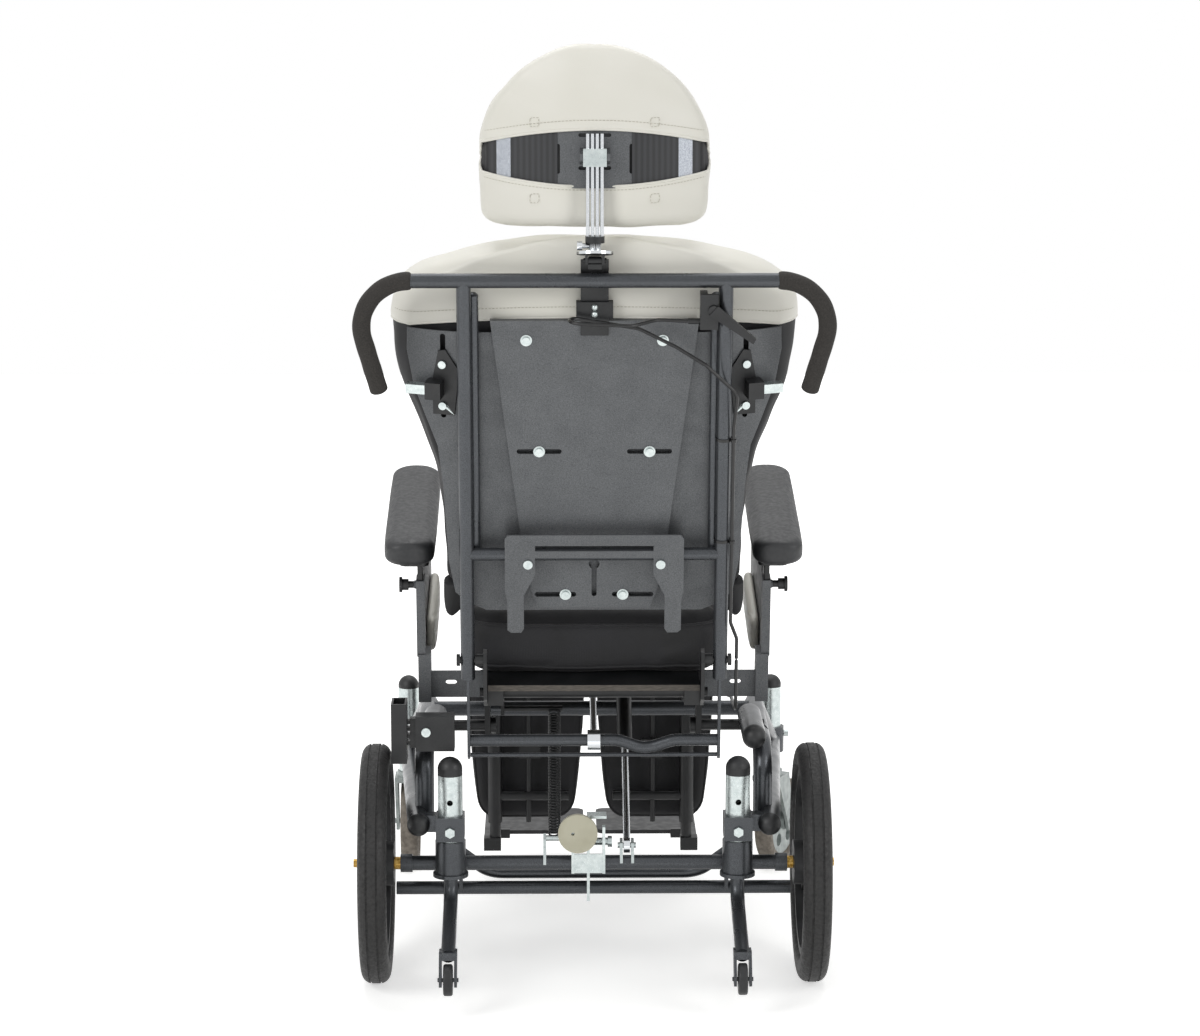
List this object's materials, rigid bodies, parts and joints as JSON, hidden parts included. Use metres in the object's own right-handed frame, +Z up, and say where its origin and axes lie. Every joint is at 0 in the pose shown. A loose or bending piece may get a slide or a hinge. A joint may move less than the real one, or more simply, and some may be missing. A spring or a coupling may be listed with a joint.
{
  "type": "tilt-in-space positioning chair",
  "caption": "Wheeled positioning chair with tilting seat, reclining back, elevating legrests, height-adjustable armrests, adjustable headrest, push bar, casters and anti-tip arms.",
  "frame": {"origin": "on the floor, at the centre of the bounding box", "axes": "+Z up, +Y the way the chair faces, +X to the right of a person standing behind it"},
  "size_m": [0.684, 0.895, 1.3301],
  "materials": {
    "frame_paint": "semi-gloss anthracite paint",
    "hammer_paint": "hammered grey paint",
    "black_paint": "satin black paint",
    "zinc": "bright zinc plate",
    "brass": "yellow passivated steel",
    "tyre": "black rubber tread",
    "caster_tyre": "grey rubber",
    "black_plastic": "moulded plastic",
    "grey_plastic": "moulded nylon",
    "grip_foam": "foam sleeve",
    "arm_pad": "skinned foam",
    "white_cover": "coated leatherette",
    "black_cover": "woven polyester",
    "cable": "cable sheath"
  },
  "bodies": {
    "base": {"side_frame_left": "frame_paint", "side_frame_right": "frame_paint", "rear_axle_tube": "frame_paint", "base_cross_tubes": "frame_paint", "height_posts": "zinc", "tube_end_caps": "black_plastic", "accessory_holder": "frame_paint", "tilt_anchor": "zinc", "wheel_axles": "brass", "base_fasteners": "zinc", "tilt_spring": "zinc"},
    "rear_wheel_l": {"rear_tyre_left": "tyre", "rear_wheel_left": "black_plastic"},
    "rear_wheel_r": {"rear_tyre_right": "tyre", "rear_wheel_right": "black_plastic"},
    "caster_l": {"caster_fork_left": "grey_plastic"},
    "caster_r": {"caster_fork_right": "grey_plastic"},
    "caster_roll_l": {"caster_wheel_left": "caster_tyre"},
    "caster_roll_r": {"caster_wheel_right": "caster_tyre"},
    "tip_l": {"anti_tip_arm_left": "frame_paint"},
    "tip_r": {"anti_tip_arm_right": "frame_paint"},
    "tip_roll_l": {"anti_tip_wheel_left": "black_plastic"},
    "tip_roll_r": {"anti_tip_wheel_right": "black_plastic"},
    "seat": {"seat_frame": "frame_paint", "seat_plate": "hammer_paint", "seat_cushion": "black_cover", "back_hinges": "black_paint", "armrest_sockets": "frame_paint", "side_panels": "black_plastic", "seat_cable": "cable"},
    "arm_l": {"armrest_left": "arm_pad"},
    "arm_r": {"armrest_right": "arm_pad"},
    "plunger_l": {"armrest_plunger_left": "black_plastic"},
    "plunger_r": {"armrest_plunger_right": "black_plastic"},
    "tilt_tube": {"tilt_strut_tube": "black_paint"},
    "tilt_rod": {"tilt_strut_rod": "zinc"},
    "recline_tube": {"recline_strut_tube": "black_paint"},
    "recline_rod": {"recline_strut_rod": "zinc"},
    "leg_l": {"leg_hanger_left": "frame_paint", "calf_pad_left": "black_cover"},
    "leg_r": {"leg_hanger_right": "frame_paint", "calf_pad_right": "black_cover"},
    "foot_l": {"footplate_left": "black_plastic"},
    "foot_r": {"footplate_right": "black_plastic"},
    "back": {"back_canes": "frame_paint", "push_bar": "frame_paint", "push_grips": "grip_foam", "back_tubes": "frame_paint", "back_shell": "hammer_paint", "back_panel": "hammer_paint", "back_fasteners": "zinc", "hook_bracket": "hammer_paint", "back_brackets": "black_paint", "back_cushion": "black_cover", "release_cable": "cable"},
    "lever": {"release_lever": "black_paint"},
    "head_post": {"headrest_post": "black_paint"},
    "head_joint": {"headrest_joint": "zinc"},
    "head": {"headrest_plate": "hammer_paint", "headrest_pad": "white_cover"}
  },
  "joints": [
    {"name": "rear_wheel_l_spin", "type": "hinge", "parent": "base", "child": "rear_wheel_l", "pos_m": [-0.309, -0.2295, 0.17], "axis": [1, 0, 0], "continuous": true},
    {"name": "caster_l_swivel", "type": "hinge", "parent": "base", "child": "caster_l", "pos_m": [-0.285, 0.3425, 0.1], "axis": [0, 0, 1], "continuous": true},
    {"name": "caster_l_roll", "type": "hinge", "parent": "caster_l", "child": "caster_roll_l", "pos_m": [-0.285, 0.3775, 0.07], "axis": [1, 0, 0], "continuous": true},
    {"name": "anti_tip_l_swing", "type": "hinge", "parent": "base", "child": "tip_l", "pos_m": [-0.203, -0.2605, 0.12], "axis": [0, 0, 1], "range_deg": [0, 80]},
    {"name": "anti_tip_l_roll", "type": "hinge", "parent": "tip_l", "child": "tip_roll_l", "pos_m": [-0.203, -0.4255, 0.058], "axis": [1, 0, 0], "continuous": true},
    {"name": "rear_wheel_r_spin", "type": "hinge", "parent": "base", "child": "rear_wheel_r", "pos_m": [0.309, -0.2295, 0.17], "axis": [1, 0, 0], "continuous": true},
    {"name": "caster_r_swivel", "type": "hinge", "parent": "base", "child": "caster_r", "pos_m": [0.285, 0.3425, 0.1], "axis": [0, 0, 1], "continuous": true},
    {"name": "caster_r_roll", "type": "hinge", "parent": "caster_r", "child": "caster_roll_r", "pos_m": [0.29979, 0.37422, 0.07], "axis": [0.9063, -0.4226, 0], "continuous": true},
    {"name": "anti_tip_r_swing", "type": "hinge", "parent": "base", "child": "tip_r", "pos_m": [0.203, -0.2605, 0.12], "axis": [0, 0, -1], "range_deg": [0, 80]},
    {"name": "anti_tip_r_roll", "type": "hinge", "parent": "tip_r", "child": "tip_roll_r", "pos_m": [0.203, -0.4255, 0.058], "axis": [1, 0, 0], "continuous": true},
    {"name": "seat_tilt", "type": "hinge", "parent": "base", "child": "seat", "pos_m": [0, -0.1245, 0.346], "axis": [1, 0, 0], "range_deg": [-5, 20], "deforming": ["tilt_spring"]},
    {"name": "back_recline", "type": "hinge", "parent": "seat", "child": "back", "pos_m": [0, -0.24996, 0.4701], "axis": [1, 0, 0], "range_deg": [0, 25]},
    {"name": "tilt_strut_turn", "type": "hinge", "parent": "seat", "child": "tilt_tube", "pos_m": [0.047, 0.14083, 0.45371], "axis": [1, 0, 0], "range_deg": [-12, 6]},
    {"name": "tilt_strut_stroke", "type": "slide", "parent": "tilt_tube", "child": "tilt_rod", "axis": [0, -0.8075, -0.5898], "range_m": [-0.012, 0.03]},
    {"name": "recline_strut_turn", "type": "hinge", "parent": "seat", "child": "recline_tube", "pos_m": [0, 0.18196, 0.45081], "axis": [1, 0, 0], "range_deg": [-6, 3]},
    {"name": "recline_strut_stroke", "type": "slide", "parent": "recline_tube", "child": "recline_rod", "axis": [0, -0.9693, -0.2459], "range_m": [-0.06, 0.005]},
    {"name": "armrest_l_height", "type": "slide", "parent": "seat", "child": "arm_l", "axis": [0, -0.1736, 0.9848], "range_m": [0, 0.06]},
    {"name": "armrest_l_plunger", "type": "slide", "parent": "seat", "child": "plunger_l", "axis": [-1, 0, 0], "range_m": [0, 0.006], "stiffness_N_per_m": 900},
    {"name": "legrest_l_raise", "type": "hinge", "parent": "seat", "child": "leg_l", "pos_m": [-0.148, 0.21521, 0.48104], "axis": [1, 0, 0], "range_deg": [0, 70]},
    {"name": "footplate_l_flip", "type": "hinge", "parent": "leg_l", "child": "foot_l", "pos_m": [-0.148, 0.27521, 0.07204], "axis": [0, -1, 0], "range_deg": [0, 85]},
    {"name": "armrest_r_height", "type": "slide", "parent": "seat", "child": "arm_r", "axis": [0, -0.1736, 0.9848], "range_m": [0, 0.06]},
    {"name": "armrest_r_plunger", "type": "slide", "parent": "seat", "child": "plunger_r", "axis": [1, 0, 0], "range_m": [0, 0.006], "stiffness_N_per_m": 900},
    {"name": "legrest_r_raise", "type": "hinge", "parent": "seat", "child": "leg_r", "pos_m": [0.148, 0.21521, 0.48104], "axis": [1, 0, 0], "range_deg": [0, 70]},
    {"name": "footplate_r_flip", "type": "hinge", "parent": "leg_r", "child": "foot_r", "pos_m": [0.148, 0.27521, 0.07204], "axis": [0, 1, 0], "range_deg": [0, 85]},
    {"name": "lever_squeeze", "type": "hinge", "parent": "back", "child": "lever", "pos_m": [0.16, -0.37434, 0.97835], "axis": [0, 0.9781, 0.2079], "range_deg": [-18, 0], "stiffness_Nm_per_rad": 1.2},
    {"name": "headrest_height", "type": "slide", "parent": "back", "child": "head_post", "axis": [0, -0.2079, 0.9781], "range_m": [0, 0.03]},
    {"name": "headrest_arm_lean", "type": "hinge", "parent": "head_post", "child": "head_joint", "pos_m": [0, -0.37654, 1.04638], "axis": [1, 0, 0], "range_deg": [-6, 18]},
    {"name": "head_pad_nod", "type": "hinge", "parent": "head_joint", "child": "head", "pos_m": [0, -0.37861, 1.18416], "axis": [1, 0, 0], "range_deg": [-8, 15]}
  ],
  "couplings": [
    {"joint": "tilt_strut_turn", "follows": "seat_tilt", "ratio": -0.37817},
    {"joint": "tilt_strut_stroke", "follows": "seat_tilt", "m_per_rad": 0.055884},
    {"joint": "recline_strut_turn", "follows": "back_recline", "ratio": -0.0424},
    {"joint": "recline_strut_stroke", "follows": "back_recline", "m_per_rad": -0.1232}
  ]
}
